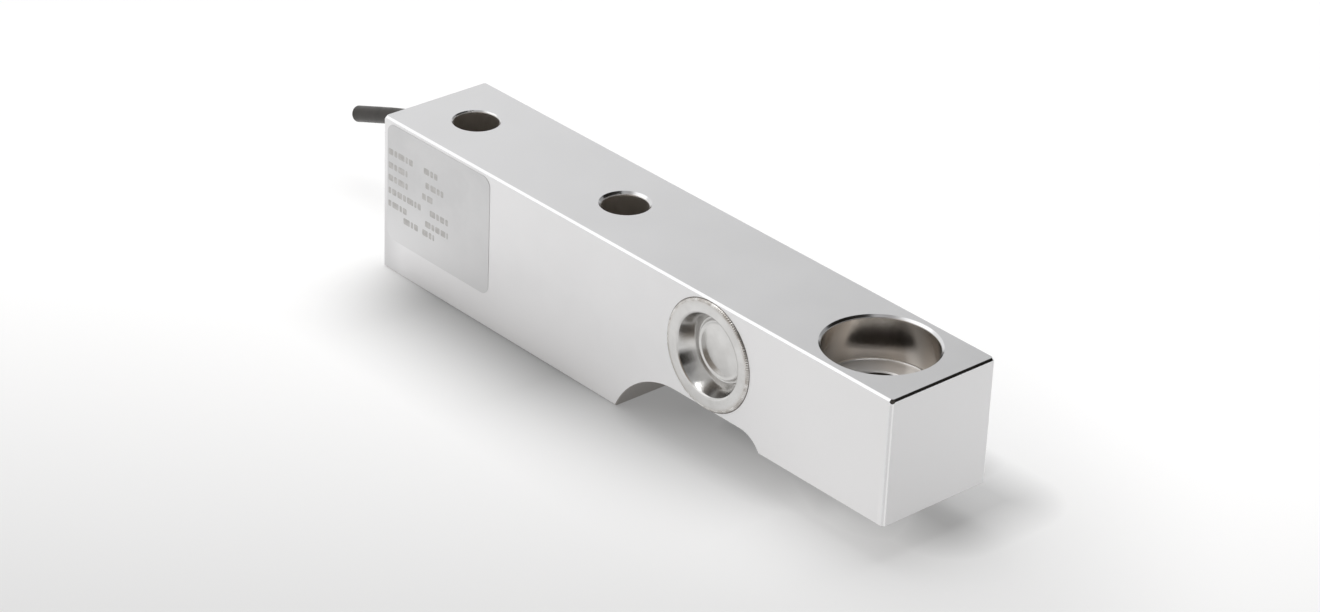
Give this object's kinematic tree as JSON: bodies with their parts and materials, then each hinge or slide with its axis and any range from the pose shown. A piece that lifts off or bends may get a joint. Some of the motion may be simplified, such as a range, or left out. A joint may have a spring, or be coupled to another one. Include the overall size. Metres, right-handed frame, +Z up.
{
  "type": "shear beam load cell",
  "caption": "Sealed single-ended shear beam load cell: bolted mounting end, undercut sensing section with welded cups, counterbored loading end.",
  "frame": {"origin": "midway between the two mounting holes, on the mounting face underneath", "axes": "+X along the beam towards the loaded end, +Z up, label side at -Y"},
  "size_m": [0.2527, 0.0376, 0.0476],
  "materials": {
    "beam_metal": "fine ground, bright nickel plate",
    "cup_steel": "satin stainless, welded rim",
    "label_foil": "matt silver foil with grey print bars",
    "cable_black": "smooth matt jacket",
    "braid_copper": "tinned braid",
    "core_red": "smooth insulation",
    "core_green": "smooth insulation",
    "core_white": "smooth insulation",
    "core_black": "smooth insulation",
    "gland_metal": "turned, nickel plated",
    "seal_rubber": "matt",
    "potting": "glossy cast resin",
    "gauge_film": "amber polyimide film",
    "gauge_foil": "etched foil",
    "copper_wire": "enamelled copper",
    "board_green": "solder resist over glass laminate",
    "silicone": "soft translucent silicone",
    "resistor_body": "glazed",
    "solder": "bright solder"
  },
  "bodies": {
    "root": {"beam_body": "beam_metal", "front_seal_cup": "cup_steel", "back_seal_cup": "cup_steel", "rating_label": "label_foil", "front_gauge_backing": "gauge_film", "back_gauge_backing": "gauge_film", "front_gauge_grid": "gauge_foil", "back_gauge_grid": "gauge_foil", "front_terminal_strip": "gauge_film", "back_terminal_strip": "gauge_film", "front_gauge_leads": "copper_wire", "back_gauge_leads": "copper_wire", "bridge_wires": "copper_wire", "back_bridge_wires": "copper_wire", "compensation_board": "board_green", "board_supports": "silicone", "span_resistors": "resistor_body", "balance_resistor": "resistor_body", "board_solder_joints": "solder", "cable_jacket": "cable_black", "cable_shield": "braid_copper", "core_red": "core_red", "core_green": "core_green", "core_white": "core_white", "core_black": "core_black", "gland_body": "gland_metal", "gland_o_ring": "seal_rubber", "gland_seal": "seal_rubber", "gland_washer": "gland_metal", "gland_cap_nut": "gland_metal", "potting_plug": "potting"}
  },
  "joints": []
}
